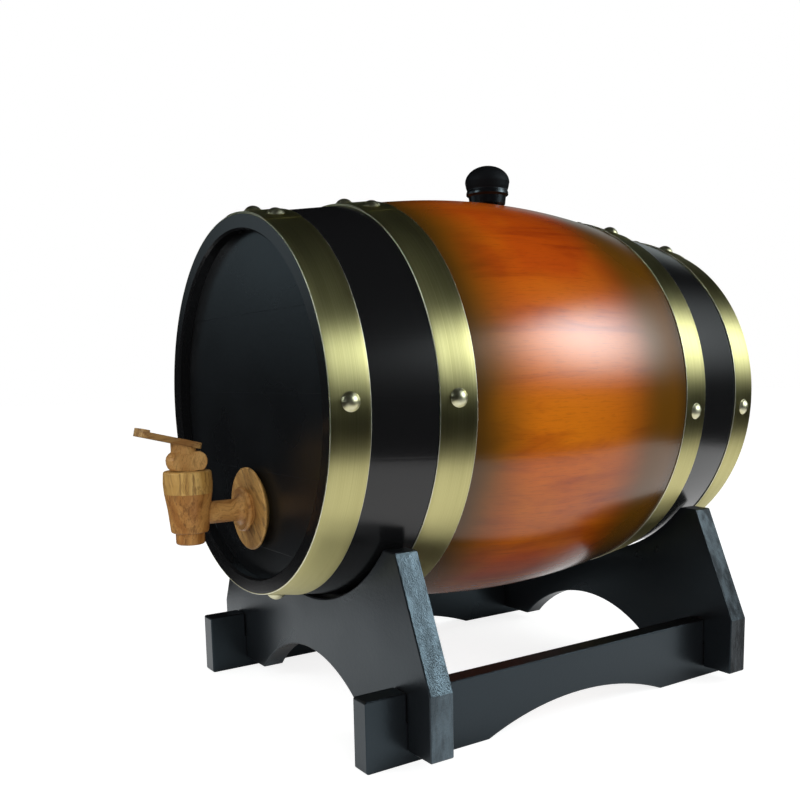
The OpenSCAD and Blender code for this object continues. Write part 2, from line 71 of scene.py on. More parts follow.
# Places read from the frame
top_low, top_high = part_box("bung_stave")
bottom_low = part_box("stave_11")[0]
HALF_LEN = (top_high[1] - top_low[1]) / 2
CASK_Y = (top_high[1] + top_low[1]) / 2
AXIS_H = (top_high[2] + bottom_low[2]) / 2
BILGE_R = (top_high[2] - bottom_low[2]) / 2
bung_low, bung_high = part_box("bung")
BUNG_Y = (bung_low[1] + bung_high[1]) / 2
BUNG_WAIST_Z = bung_high[2] - 11.2 * MM


def half_slope(steps=12):
    """Tangent of half the slope of the straight ends, which run on from the curved middle."""
    t = 0.0
    for _ in range(steps):
        t = (BILGE_R - END_R) / (BELLY_HALF + 2 * (HALF_LEN - BELLY_HALF) / (1 - t * t))
    return t


SLOPE = 2 * math.atan(half_slope())
ARC_R = BELLY_HALF / math.sin(SLOPE)
ARC_X = BILGE_R - ARC_R


def side_radius(y, grow=0.0):
    """Radius of the cask's side, grown outwards, at the distance y from its middle."""
    edge = (ARC_R + grow) * math.sin(SLOPE)
    if abs(y) <= edge:
        return ARC_X + math.sqrt((ARC_R + grow) ** 2 - y * y)
    return ARC_X + (ARC_R + grow) * math.cos(SLOPE) - (abs(y) - edge) * math.tan(SLOPE)


def side_slope(y):
    """Angle by which the cask's side leans inwards at the distance y from its middle."""
    return math.copysign(min(SLOPE, math.asin(min(1.0, abs(y) / ARC_R))), y)


def on_cask(deg, r, y):
    """Point at an angle from the top towards +X, a radius, and a distance from the middle."""
    a = math.radians(deg)
    return Vector((r * math.sin(a), CASK_Y + y, AXIS_H + r * math.cos(a)))


def new_object(name, verts, faces, smooth=True):
    mesh = bpy.data.meshes.new(name)
    mesh.from_pydata([tuple(v) for v in verts], [], faces)
    mesh.validate()
    mesh.update()
    if smooth:
        mesh.shade_smooth()
    obj = bpy.data.objects.new(name, mesh)
    bpy.context.scene.collection.objects.link(obj)
    return obj


def tidy_normals(obj, sharp_deg=35):
    """Turns the faces outwards and marks the sharp edges."""
    bm = bmesh.new()
    bm.from_mesh(obj.data)
    bmesh.ops.recalc_face_normals(bm, faces=bm.faces)
    limit = math.radians(sharp_deg)
    for edge in bm.edges:
        if len(edge.link_faces) == 2 and edge.calc_face_angle(0) > limit:
            edge.smooth = False
    bm.to_mesh(obj.data)
    bm.free()


def add_uv(obj, place):
    """Gives each face corner the UV that place(vertex index, vertex position) returns."""
    layer = obj.data.uv_layers.new(name="grain")
    verts = obj.data.vertices
    for loop in obj.data.loops:
        index = loop.vertex_index
        layer.data[loop.index].uv = place(index, verts[index].co)


def loft(name, rings, closed_rings=True, caps=True):
    """Joins equal rings of points into a skin, closing each ring and both ends if asked."""
    n = len(rings[0])
    verts = [p for ring in rings for p in ring]
    faces = []
    for i in range(len(rings) - 1):
        for j in range(n if closed_rings else n - 1):
            k = (j + 1) % n
            faces.append((i * n + j, i * n + k, (i + 1) * n + k, (i + 1) * n + j))
    if caps:
        faces.append(tuple(range(n)))
        faces.append(tuple(reversed(range((len(rings) - 1) * n, len(rings) * n))))
    return new_object(name, verts, faces)


# Materials

# The sunburst's fades, by the distance from the cask's middle
BURST_SHIFT = 8 * MM
BURST_WAVER = 10 * MM
RED_FADE = (-14 * MM, 46 * MM)
OLIVE_FADE = (18 * MM, 48 * MM)
DARK_FADE = (47 * MM, 68 * MM)
PAINT_EDGE = (58 * MM, 62 * MM)


class Nodes:
    """Short calls that add shader nodes and join them."""

    def __init__(self, name):
        self.material = bpy.data.materials.new(name)
        self.material.use_nodes = True
        self.tree = self.material.node_tree
        self.tree.nodes.clear()
        self.output = self.tree.nodes.new("ShaderNodeOutputMaterial")
        self.shader = self.tree.nodes.new("ShaderNodeBsdfPrincipled")
        self.link(self.shader.outputs[0], self.output.inputs[0])

    def link(self, source, target):
        self.tree.links.new(source, target)

    def add(self, kind, inputs=None, **settings):
        node = self.tree.nodes.new(kind)
        for key, value in settings.items():
            setattr(node, key, value)
        for key, value in (inputs or {}).items():
            self.put(node.inputs[key], value)
        return node

    def put(self, socket, value):
        if isinstance(value, bpy.types.NodeSocket):
            self.link(value, socket)
        elif isinstance(value, bpy.types.Node):
            self.link(value.outputs[0], socket)
        else:
            socket.default_value = value

    def set(self, **inputs):
        for key, value in inputs.items():
            self.put(self.shader.inputs[key.replace("_", " ")], value)

    def math(self, operation, a, b=0.0, clamp=False):
        node = self.add("ShaderNodeMath", {0: a, 1: b}, operation=operation)
        node.use_clamp = clamp
        return node.outputs[0]

    def ramp(self, value, low, high, to_low=0.0, to_high=1.0, smooth=True):
        inputs = {"Value": value, "From Min": low, "From Max": high}
        inputs.update({"To Min": to_low, "To Max": to_high})
        kind = "SMOOTHSTEP" if smooth else "LINEAR"
        return self.add("ShaderNodeMapRange", inputs, interpolation_type=kind).outputs[0]

    def mix(self, factor, a, b, blend="MIX"):
        node = self.add("ShaderNodeMix", data_type="RGBA", blend_type=blend)
        node.clamp_factor = True
        self.put(node.inputs[0], factor)
        self.put(node.inputs[6], a)
        self.put(node.inputs[7], b)
        return node.outputs[2]

    def object_coords(self):
        return self.add("ShaderNodeTexCoord").outputs["Object"]

    def uv(self):
        return self.add("ShaderNodeUVMap", uv_map="grain").outputs[0]

    def stretched(self, vector, scale, offset=(0, 0, 0)):
        inputs = {"Vector": vector, "Scale": scale, "Location": offset}
        return self.add("ShaderNodeMapping", inputs).outputs[0]

    def combined(self, value):
        """A vector with the value in its first two places."""
        return self.add("ShaderNodeCombineXYZ", {"X": value, "Y": value}).outputs[0]

    def noise(self, vector, scale, detail=3.0, rough=0.5, distortion=0.0):
        inputs = {"Vector": vector, "Scale": scale, "Detail": detail, "Roughness": rough}
        inputs["Distortion"] = distortion
        return self.add("ShaderNodeTexNoise", inputs).outputs["Fac"]

    def split(self, vector):
        return self.add("ShaderNodeSeparateXYZ", {0: vector}).outputs

    def bump(self, height, distance, strength=1.0, normal=None):
        inputs = {"Height": height, "Distance": distance, "Strength": strength}
        node = self.add("ShaderNodeBump", inputs)
        if normal is not None:
            self.put(node.inputs["Normal"], normal)
        return node.outputs[0]

    def attribute(self, name):
        node = self.add("ShaderNodeAttribute", attribute_name=name, attribute_type="GEOMETRY")
        return node.outputs["Fac"]


def rgb(r, g, b):
    """A linear colour from the 0 to 255 values that a screen shows."""
    def linear(v):
        v = v / 255
        return v / 12.92 if v <= 0.04045 else ((v + 0.055) / 1.055) ** 2.4
    return (linear(r), linear(g), linear(b), 1.0)


COOL_SHEEN = (0.72, 0.9, 1.0, 1.0)
BLUE_SHEEN = (0.62, 0.85, 1.0, 1.0)
BRASS_LIGHT = (0.60, 0.56, 0.27, 1.0)
BRASS_DARK = (0.46, 0.42, 0.18, 1.0)
# The next two colours paint the highlight along the hoops' polished edges
EDGE_GLINT_LIGHT = (0.92, 0.90, 0.76, 1.0)
EDGE_GLINT_DARK = (0.80, 0.78, 0.62, 1.0)
RIVET_LIGHT = (0.72, 0.70, 0.50, 1.0)
RIVET_DARK = (0.58, 0.55, 0.34, 1.0)
DEEP_ORANGE = rgb(186, 68, 3)
AMBER = rgb(218, 122, 6)
RED_BROWN = rgb(140, 42, 4)
RED_SHADE = rgb(112, 40, 4)
DARK_GRAIN = rgb(96, 34, 4)
OLIVE = rgb(96, 62, 4)
OLIVE_BLACK = rgb(34, 28, 12)
BAND_BLACK = rgb(20, 20, 21)


def lacquered_oak():
    """Amber lacquer over fine grain, fading through olive to black at the quarter hoops."""
    m = Nodes("lacquered_oak")
    uv = m.uv()
    place = m.object_coords()
    tone = m.attribute("tone")
    along = m.math("SUBTRACT", m.split(place)[1], CASK_Y)
    from_middle = m.math("ABSOLUTE", along)
    shaded = m.math("ABSOLUTE", m.math("ADD", along, BURST_SHIFT))
    grain = m.noise(m.stretched(uv, (14, 900, 1)), 1.0, 6.0, 0.62, 0.4)
    broad = m.noise(m.stretched(uv, (11, 60, 1)), 1.0, 4.0, 0.6, 1.2)
    speck = m.noise(m.stretched(uv, (160, 1500, 1)), 1.0, 3.0, 0.6)
    cloud = m.noise(place, 30, 2.0, 0.5)
    peel = m.noise(place, 520, 2.0, 0.5)
    warm = m.mix(m.ramp(tone, 0.0, 1.0, smooth=False), DEEP_ORANGE, AMBER)
    warm = m.mix(m.ramp(broad, 0.44, 0.70, 0.0, 0.6), warm, RED_BROWN)
    warm = m.mix(m.ramp(cloud, 0.45, 0.75, 0.0, 0.35), warm, AMBER)
    warm = m.mix(m.ramp(grain, 0.50, 0.74, 0.0, 0.15), warm, DARK_GRAIN)
    warm = m.mix(m.ramp(speck, 0.50, 0.70, 0.0, 0.22), warm, DARK_GRAIN)
    warm = m.mix(m.ramp(along, *RED_FADE, 0.0, 0.62), warm, RED_SHADE)
    waver = m.math("MULTIPLY", m.math("SUBTRACT", cloud, 0.5), BURST_WAVER)
    edge = m.math("ADD", shaded, waver)
    end_edge = m.math("ADD", from_middle, waver)
    olive = m.mix(m.ramp(edge, *OLIVE_FADE, 0.0, 0.95), warm, OLIVE)
    dark = m.mix(m.ramp(end_edge, *DARK_FADE), olive, OLIVE_BLACK)
    painted = m.ramp(from_middle, *PAINT_EDGE)
    m.set(
        Base_Color=m.mix(painted, dark, BAND_BLACK),
        Roughness=0.6,
        Specular_IOR_Level=0.0,
        Coat_Weight=1.0,
        Coat_IOR=1.5,
        Coat_Roughness=0.2,
        Normal=m.bump(grain, 0.03 * MM, 0.4, m.bump(peel, 0.02 * MM, 0.5)),
    )
    coat = m.bump(speck, 0.02 * MM, 0.4, m.bump(peel, 0.025 * MM, 0.5))
    m.set(Coat_Normal=coat)
    return m.material


def black_paint(name, rough, peel_scale, peel_depth, sheen, end_depth=0.0, end_sheen=0.52):
    """Satin black paint over wood with open pores and a cool sheen, coarser on end grain."""
    m = Nodes(name)
    place = m.object_coords()
    pores = m.noise(m.stretched(place, (260, 900, 900)), 1.0, 4.0, 0.6)
    peel = m.noise(place, peel_scale, 3.0, 0.55)
    cloud = m.noise(place, 26, 3.0, 0.5)
    normal = m.bump(peel, peel_depth, 0.6, m.bump(pores, 0.04 * MM, 0.5))
    m.set(Specular_IOR_Level=0.52)
    if end_depth:
        facing = m.split(m.add("ShaderNodeNewGeometry").outputs["Normal"])[0]
        on_end = m.ramp(m.math("ABSOLUTE", facing), 0.6, 0.8)
        rough_end = m.noise(m.stretched(place, (1.0, 1.0, 0.55)), 1700, 3.0, 0.65)
        patch = m.noise(m.stretched(place, (1.0, 1.0, 0.3)), 240, 3.0, 0.6)
        normal = m.bump(m.math("MULTIPLY", rough_end, on_end), end_depth, 1.0, normal)
        sparkle = m.math("MULTIPLY", on_end, m.ramp(patch, 0.35, 0.65, 0.35, 1.0))
        m.set(Specular_IOR_Level=m.ramp(sparkle, 0.0, 1.0, 0.52, end_sheen, smooth=False))
    m.set(
        Base_Color=m.mix(cloud, rgb(16, 16, 17), rgb(24, 24, 26)),
        Roughness=m.ramp(cloud, 0.25, 0.75, rough - 0.03, rough + 0.05),
        Specular_Tint=sheen,
        Normal=normal,
    )
    return m.material


def brushed_brass():
    """Brass band brushed along its length, round the cask."""
    m = Nodes("brushed_brass")
    uv = m.uv()
    streak = m.noise(m.stretched(uv, (5, 6000, 1)), 1.0, 4.0, 0.65)
    patch = m.noise(m.stretched(uv, (12, 160, 1)), 1.0, 3.0, 0.5)
    tangent = m.add("ShaderNodeTangent", direction_type="UV_MAP", uv_map="grain").outputs[0]
    m.set(
        Base_Color=m.mix(m.ramp(streak, 0.3, 0.7), BRASS_DARK, BRASS_LIGHT),
        Metallic=1.0,
        Roughness=m.ramp(patch, 0.3, 0.7, 0.42, 0.48),
        Anisotropic=0.9,
        Anisotropic_Rotation=0.25,
        Tangent=tangent,
        Normal=m.bump(streak, 0.004 * MM, 0.3),
    )
    return m.material


def edge_brass():
    """The bands' bare rounded edges, polished, in a pale near-silver colour that paints the
    highlight the edges catch.
    """
    m = Nodes("edge_brass")
    cloud = m.noise(m.object_coords(), 500, 3.0, 0.5)
    m.set(
        Base_Color=m.mix(cloud, EDGE_GLINT_DARK, EDGE_GLINT_LIGHT),
        Metallic=1.0,
        Roughness=m.ramp(cloud, 0.3, 0.7, 0.40, 0.52),
        Normal=m.bump(cloud, 0.02 * MM, 0.3),
    )
    return m.material


def polished_brass():
    m = Nodes("polished_brass")
    cloud = m.noise(m.object_coords(), 420, 3.0, 0.5)
    m.set(
        Base_Color=m.mix(m.ramp(cloud, 0.3, 0.7), RIVET_DARK, RIVET_LIGHT),
        Metallic=1.0,
        Roughness=m.ramp(cloud, 0.3, 0.7, 0.36, 0.46),
        Normal=m.bump(cloud, 0.03 * MM, 0.3),
    )
    return m.material


def gloss_black():
    """Black lacquer over turned wood: satin on the cap, glossy from the bead down."""
    m = Nodes("gloss_black")
    place = m.object_coords()
    cloud = m.noise(place, 60, 3.0, 0.5)
    turned = m.noise(m.stretched(place, (40, 40, 1400)), 1.0, 2.0, 0.5)
    cap = m.ramp(m.split(place)[2], BUNG_WAIST_Z - 1 * MM, BUNG_WAIST_Z + 1 * MM)
    m.set(Specular_IOR_Level=0.35)
    m.set(
        Base_Color=m.mix(cloud, rgb(10, 10, 11), rgb(18, 18, 20)),
        Roughness=m.ramp(cap, 0.0, 1.0, 0.22, 0.62),
        Specular_IOR_Level=m.ramp(cap, 0.0, 1.0, 0.6, 0.12),
        Specular_Tint=COOL_SHEEN,
        Normal=m.bump(turned, 0.02 * MM, 0.4),
    )
    return m.material


GRAIN_SWAY = 9 * MM


def tap_wood(name, light, dark, vein, grain_turn, scale=1.0):
    """Oiled hardwood, with fine dark streaks along a swaying grain.

    grain_turn turns the grain away from Z.
    """
    m = Nodes(name)
    place = m.object_coords()
    turned = m.add("ShaderNodeMapping", {"Vector": place, "Rotation": grain_turn}).outputs[0]
    bend = m.noise(turned, 75 * scale, 2.0, 0.5)
    shift = m.combined(m.math("MULTIPLY", m.math("SUBTRACT", bend, 0.5), GRAIN_SWAY))
    swayed = m.add("ShaderNodeVectorMath", {0: turned, 1: shift}, operation="ADD").outputs[0]
    along = m.stretched(swayed, (1.0, 1.0, 0.05))
    sway = m.noise(along, 190 * scale, 3.0, 0.55)
    rings = m.noise(along, 620 * scale, 4.0, 0.65)
    fine = m.noise(m.stretched(swayed, (1.0, 1.0, 0.03)), 2400, 3.0, 0.6)
    colour = m.mix(m.ramp(sway, 0.34, 0.66), rgb(*light), rgb(*dark))
    colour = m.mix(m.ramp(rings, 0.48, 0.72, 0.0, 0.7), colour, rgb(*vein))
    colour = m.mix(m.ramp(fine, 0.50, 0.70, 0.0, 0.45), colour, rgb(*vein))
    m.set(
        Base_Color=colour,
        Roughness=m.ramp(rings, 0.3, 0.7, 0.36, 0.52),
        Specular_IOR_Level=0.4,
        Normal=m.bump(fine, 0.04 * MM, 0.4, m.bump(rings, 0.03 * MM, 0.4)),
    )
    return m.material


OAK = lacquered_oak()
HEAD_PAINT = black_paint("head_paint", 0.28, 500, 0.03 * MM, COOL_SHEEN)
# The cradles' end grain has its specular level lowered to 0.1 on the rear cradle and raised to 1.8
# on the front one: shaded and lit copies of one paint, so the rear's sloped edges carry painted
# shade and the front's a painted highlight
STAND_PAINT = black_paint("stand_paint", 0.29, 620, 0.06 * MM, BLUE_SHEEN, 0.12 * MM, 0.1)
RAIL_PAINT = black_paint("rail_paint", 0.29, 620, 0.06 * MM, BLUE_SHEEN)
LIT_FRONT_STAND_PAINT = black_paint("lit_front_stand_paint", 0.29, 620, 0.06 * MM, BLUE_SHEEN,
                                0.26 * MM, 1.8)
BRASS = brushed_brass()
EDGE_BRASS = edge_brass()
RIVET_BRASS = polished_brass()
GLOSS_BLACK = gloss_black()
PALE, GOLDEN, BROWN_VEIN = (224, 182, 108), (194, 148, 78), (108, 66, 28)
CUP_WOOD = tap_wood("cup_wood", PALE, GOLDEN, BROWN_VEIN, (0, 0, 0.4))
BODY_WOOD = tap_wood("body_wood", (206, 150, 82), (170, 112, 54), (88, 46, 18), (0.25, 0.2, 1.1))
KEY_WOOD = tap_wood("key_wood", (218, 170, 104), (190, 138, 76), BROWN_VEIN, (0.1, 0.3, 2.0), 0.8)
HANDLE_WOOD = tap_wood("handle_wood", (188, 150, 92), (152, 106, 56), (88, 50, 26), (1.45, 0, 0.2))
SHANK_WOOD = tap_wood("shank_wood", (208, 158, 92), (182, 128, 68), (112, 64, 28), (1.2, 0.6, 0))
PLATE_WOOD = tap_wood("plate_wood", (206, 160, 92), (164, 116, 60), (66, 40, 22),
                      (0.35, 0.75, 0.2), 0.7)


def dress(obj, material):
    obj.data.materials.clear()
    obj.data.materials.append(material)


def stand_for(obj, node, body):
    """The piece replaces a solid of the frame and rides on its body."""
    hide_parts(node)
    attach(obj, body)


# Staves

STATIONS = 64
SEAM_STEPS = (0.0, 0.25 * MM, 0.6 * MM, 1.2 * MM)
SEAM_DROP = 0.008 * MM
SEAM_WIDTH = 0.45 * MM
INNER_STEPS = 4
OUTER_STEPS = 8
TONE_BLEND = 0.12


def stave_angles(width_deg):
    """Shares of a stave's width at which its outer face has points, close together at its seams."""
    width = math.radians(width_deg) * BILGE_R
    near = [s / width for s in SEAM_STEPS]
    middle = [near[-1] + (1 - 2 * near[-1]) * i / OUTER_STEPS for i in range(1, OUTER_STEPS)]
    return near + middle + [1 - s for s in reversed(near)]


def stave_ring(y, start_deg, width_deg, shares, bevel):
    ring = []
    width = math.radians(width_deg) * BILGE_R
    for share in shares:
        seam = min(share, 1 - share) * width
        drop = SEAM_DROP * math.exp(-((seam / SEAM_WIDTH) ** 2))
        ring.append(on_cask(start_deg + share * width_deg, side_radius(y) - drop, y))
    inner = side_radius(y, -STAVE_T) + bevel
    for i in range(INNER_STEPS + 1):
        ring.append(on_cask(start_deg + width_deg * (1 - i / INNER_STEPS), inner, y))
    return ring


def stave(name, start_deg, width_deg, tones, rng):
    """One stave, whose tone turns to its neighbours' at its seams.

    tones has the tone of the stave before it, its own and that of the stave after it.
    """
    shares = stave_angles(width_deg)
    ys = [-HALF_LEN + 2 * HALF_LEN * i / STATIONS for i in range(STATIONS + 1)]
    ys = sorted(ys + [-HALF_LEN + CHIME_BEVEL, HALF_LEN - CHIME_BEVEL])
    rings = []
    for y in ys:
        bevel = max(0.0, CHIME_BEVEL - (HALF_LEN - abs(y)))
        rings.append(stave_ring(y, start_deg, width_deg, shares, bevel))
    obj = loft(name, rings)
    tidy_normals(obj)
    along, across = rng.uniform(0, 5), rng.uniform(0, 5)

    def unrolled(_, co):
        return co.y + along, math.atan2(co.x, co.z - AXIS_H) * BILGE_R + across

    add_uv(obj, unrolled)
    before, own, after = tones
    turn = math.radians(start_deg + width_deg / 2)
    values = obj.data.attributes.new("tone", "FLOAT", "POINT")
    for vertex, value in zip(obj.data.vertices, values.data):
        x, z = vertex.co.x, vertex.co.z - AXIS_H
        share = math.degrees(math.atan2(x * math.cos(turn) - z * math.sin(turn),
                                        z * math.cos(turn) + x * math.sin(turn))) / width_deg
        near = max(0.0, (abs(share) - 0.5 + TONE_BLEND) / TONE_BLEND)
        value.value = own + ((after if share > 0 else before) - own) * near / 2
    dress(obj, OAK)
    return obj


def cut_hole(obj, x, y, z, r, height):
    """Cuts an upright round hole."""
    bpy.ops.mesh.primitive_cylinder_add(vertices=64, radius=r, depth=height, location=(x, y, z))
    cutter = bpy.context.object
    modifier = obj.modifiers.new("hole", "BOOLEAN")
    modifier.object = cutter
    modifier.solver = "EXACT"
    graph = bpy.context.evaluated_depsgraph_get()
    cut = bpy.data.meshes.new_from_object(obj.evaluated_get(graph))
    obj.modifiers.clear()
    obj.data = cut
    bpy.data.objects.remove(cutter)


STAVE_TONES = (0.4, 0.3, 0.1, 0.1, 0.35, 0.6, 0.8, 0.5, 0.45, 0.1, 0.5, 0.3,
               0.7, 0.2, 0.55, 0.85, 0.3, 0.6, 0.15, 0.5, 0.75, 0.35, 0.6)


def make_staves():
    rng = random.Random(11)
    plain_deg = (360 - BUNG_STAVE_DEG) / PLAIN_STAVES
    count = PLAIN_STAVES + 1
    for n in range(count):
        name = "stave_%02d" % n if n else "bung_stave"
        width = plain_deg if n else BUNG_STAVE_DEG
        start = BUNG_STAVE_DEG / 2 + (n - 1) * plain_deg if n else -BUNG_STAVE_DEG / 2
        tones = [STAVE_TONES[(n + step) % count] for step in (-1, 0, 1)]
        obj = stave(name + "_wood", start, width, tones, rng)
        if n == 0:
            cut_hole(obj, 0, BUNG_Y, AXIS_H + BILGE_R, BUNG_HOLE_R, 4 * STAVE_T)
        stand_for(obj, name, "cask")


# Hoops and rivets

BAND_STEP_DEG = 1.0
LAP_RAMP_DEG = 3.0
BAND_EDGE = 0.22 * MM
LAP_LIFT = 0.03 * MM
EDGE_STEPS = 3
THIN_DEG = 3.0
THIN_SHARE = 0.2


def hoop_place(node):
    """The hoop's distance from the cask's middle, and its width."""
    low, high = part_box(node)
    return (low[1] + high[1]) / 2 - CASK_Y, high[1] - low[1]


def band_ring(deg, y, width, lift, thick):
    """Section of the band at one angle: front edge, outer face, rear edge, inner face."""
    half = width / 2
    edge = min(BAND_EDGE, thick / 2)
    curve = [(math.sin(math.pi / 2 * i / EDGE_STEPS), math.cos(math.pi / 2 * i / EDGE_STEPS))
             for i in range(EDGE_STEPS + 1)]
    shape = [(-half + edge - edge * c, edge - edge * s) for s, c in curve]
    shape += [(-half / 2, 0), (0, 0), (half / 2, 0)]
    shape += [(half - edge + edge * c, edge - edge * s) for s, c in reversed(curve)]
    top = HOOP_GAP + lift + thick
    points = [on_cask(deg, side_radius(y + dy, top - inset), y + dy) for dy, inset in shape]
    for dy in (half, 0, -half):
        points.append(on_cask(deg, side_radius(y + dy, HOOP_GAP + lift), y + dy))
    return points


def hoop(node, turn):
    """A band once round the cask that laps over its own start, with the lap's outer end filed thin.
    """
    y, width = hoop_place(node)
    start = turn - LAP_END_DEG
    full = 360 + LAP_DEG + 2 * LAP_END_DEG
    steps = round(full / BAND_STEP_DEG)
    rings = []
    for i in range(steps + 1):
        deg = full * i / steps
        rise = min(1.0, max(0.0, (deg - 360 + LAP_RAMP_DEG) / LAP_RAMP_DEG))
        thick = HOOP_T * min(1.0, THIN_SHARE + (1 - THIN_SHARE) * (full - deg) / THIN_DEG)
        rings.append(band_ring(start + deg, y, width, rise * (HOOP_T + LAP_LIFT), thick))
    obj = loft(node + "_band", rings)
    count = len(rings[0])
    tidy_normals(obj)
    add_uv(obj, lambda index, co: ((index // count) * math.radians(BAND_STEP_DEG) * BILGE_R, co.y))
    dress(obj, BRASS)
    # The rounded edges take the pale edge material, a painted highlight
    obj.data.materials.append(EDGE_BRASS)
    faces_round = count - 3
    for face in obj.data.polygons:
        ks = [v % count for v in face.vertices]
        outer = max(ks) - min(ks) == 1
        if outer and (max(ks) <= EDGE_STEPS or EDGE_STEPS + 4 <= min(ks) < faces_round - 1):
            face.material_index = 1
    stand_for(obj, node, "cask")


def rivet_place(y, turn, others, n):
    """Foot and direction of a hoop's rivet n. The first two go through both layers of the lap."""
    deg = turn + ((0, LAP_DEG) + others)[n]
    layers = 2 if n < 2 else 1
    a = math.radians(deg)
    slope = side_slope(y)
    out = Vector((math.sin(a) * math.cos(slope), math.sin(slope), math.cos(a) * math.cos(slope)))
    return on_cask(deg, side_radius(y), y) + out * (HOOP_GAP + layers * HOOP_T), out


def lathe(name, profile, segments=64):
    """Turns a profile of (radius, height) points about the Z axis into a closed skin."""
    verts, faces, rings = [], [], []
    turns = [2 * math.pi * k / segments for k in range(segments)]
    for r, z in profile:
        if r < TINY:
            rings.append([len(verts)])
            verts.append((0, 0, z))
        else:
            rings.append(list(range(len(verts), len(verts) + segments)))
            verts += [(r * math.cos(a), r * math.sin(a), z) for a in turns]
    for a, b in zip(rings, rings[1:]):
        for k in range(segments):
            j = (k + 1) % segments
            face = [a[k % len(a)], a[j % len(a)], b[j % len(b)], b[k % len(b)]]
            face = list(dict.fromkeys(face))
            if len(face) > 2:
                faces.append(tuple(face))
    obj = new_object(name, verts, faces)
    tidy_normals(obj)
    return obj


def arc(x, y, r, a, b, steps=8):
    """Points of an arc from the angle a to the angle b about (x, y)."""
    return [(x + r * math.cos(math.radians(a + (b - a) * i / steps)),
             y + r * math.sin(math.radians(a + (b - a) * i / steps))) for i in range(steps + 1)]


def put(obj, matrix):
    """Moves a new piece's mesh to its place, with the object itself left at the origin."""
    obj.data.transform(matrix)
    obj.data.update()


def rivets(node, hoop_node, turn, others):
    y, _ = hoop_place(hoop_node)
    dome_r = (RIVET_HEAD_R ** 2 + RIVET_HEAD_H ** 2) / (2 * RIVET_HEAD_H)
    rim = math.degrees(math.acos(RIVET_HEAD_R / dome_r))
    profile = [(0, 0), (RIVET_HEAD_R - 0.15 * MM, 0), (RIVET_HEAD_R, 0.12 * MM)]
    profile += arc(0, RIVET_HEAD_H - dome_r, dome_r, rim + 4, 90, 14)
    whole = None
    for n in range(2 + len(others)):
        place, out = rivet_place(y, turn, others, n)
        one = lathe(node + "_part", profile, 40)
        lean = Vector((0, 0, 1)).rotation_difference(out).to_matrix().to_4x4()
        put(one, Matrix.Translation(place) @ lean)
        whole = one if whole is None else join(whole, one)
    whole.name = node + "_heads"
    dress(whole, RIVET_BRASS)
    stand_for(whole, node, "cask")


def join(a, b):
    """Adds b's mesh to a."""
    bm = bmesh.new()
    bm.from_mesh(a.data)
    bm.from_mesh(b.data)
    bm.to_mesh(a.data)
    bm.free()
    bpy.data.objects.remove(b)
    return a


def make_hoops():
    ends = (("front", FRONT_HOOP_TURN, FRONT_RIVETS_DEG), ("rear", REAR_HOOP_TURN, REAR_RIVETS_DEG))
    for side, turn, others in ends:
        for kind in ("chime", "quarter"):
            band = "%s_%s_hoop" % (side, kind)
            hoop(band, turn)
            rivets("%s_%s_rivets" % (side, kind), band, turn, others)


# Carried-over solids

WELD_GAP = 0.01 * MM


def soften(obj, width):
    """Joins the solid's split corners and rounds its edges a little."""
    weld = obj.modifiers.new("weld", "WELD")
    weld.merge_threshold = WELD_GAP
    bevel = obj.modifiers.new("bevel", "BEVEL")
    bevel.width = width
    bevel.segments = 3
    bevel.limit_method = "ANGLE"
    bevel.angle_limit = math.radians(40)
    bevel.harden_normals = False
    even = obj.modifiers.new("even", "WEIGHTED_NORMAL")
    even.keep_sharp = True


STAND_PAINTS = {
    "front_cradle": LIT_FRONT_STAND_PAINT,
    "rear_cradle": STAND_PAINT,
    "left_rail": RAIL_PAINT,
    "right_rail": RAIL_PAINT,
}
TAP_WOODS = {
    "tap_cup": CUP_WOOD,
    "tap_body": BODY_WOOD,
    "tap_key": KEY_WOOD,
    "tap_handle": HANDLE_WOOD,
    "tap_shank": SHANK_WOOD,
    "tap_rosette": PLATE_WOOD,
}


def dress_solids():
    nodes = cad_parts
    for name, obj in nodes.items():
        if "head_board" in name:
            dress(obj, HEAD_PAINT)
            soften(obj, 0.35 * MM)
        elif name in STAND_PAINTS:
            dress(obj, STAND_PAINTS[name])
            soften(obj, 0.7 * MM)
        elif name == "bung":
            dress(obj, GLOSS_BLACK)
        elif name in TAP_WOODS:
            dress(obj, TAP_WOODS[name])
            if name == "tap_handle":
                soften(obj, 0.6 * MM)


# Light, floor and camera

FOCUS = Vector((0, 0, 0.13))
PHOTO_SIZE = 800
FOCAL_PX = 916.0
CENTRE_PX = (412.29, 501.0)
CAMERA_DEG = (56.21, 7.71, -1.05)
CAMERA_FROM_CASK = Vector((0.35308, -0.26671, 0.14422))


def make_camera():
    data = bpy.data.cameras.new("camera")
    data.sensor_width = 36
    data.lens = FOCAL_PX / PHOTO_SIZE * data.sensor_width
    data.shift_x = (PHOTO_SIZE / 2 - CENTRE_PX[0]) / PHOTO_SIZE
    data.shift_y = (CENTRE_PX[1] - PHOTO_SIZE / 2) / PHOTO_SIZE
    data.clip_start = 0.01
    camera = bpy.data.objects.new("camera", data)
    azimuth, elevation, roll = (math.radians(v) for v in CAMERA_DEG)
    turn = Matrix.Rotation(azimuth, 4, "Z") @ Matrix.Rotation(math.pi / 2 - elevation, 4, "X")
    turn = turn @ Matrix.Rotation(roll, 4, "Z")
    camera.matrix_world = Matrix.Translation(CAMERA_FROM_CASK + Vector((0, CASK_Y, 0))) @ turn
    bpy.context.scene.collection.objects.link(camera)
    bpy.context.scene.camera = camera


def softbox(name, direction, distance, size, power, colour=(1, 1, 1)):
    data = bpy.data.lights.new(name, "AREA")
    data.shape = "RECTANGLE"
    data.size, data.size_y = size
    data.energy = power
    data.color = colour
    light = bpy.data.objects.new(name, data)
    out = Vector(direction).normalized()
    light.location = FOCUS + out * distance
    light.rotation_euler = out.to_track_quat("Z", "Y").to_euler()
    bpy.context.scene.collection.objects.link(light)
    return light


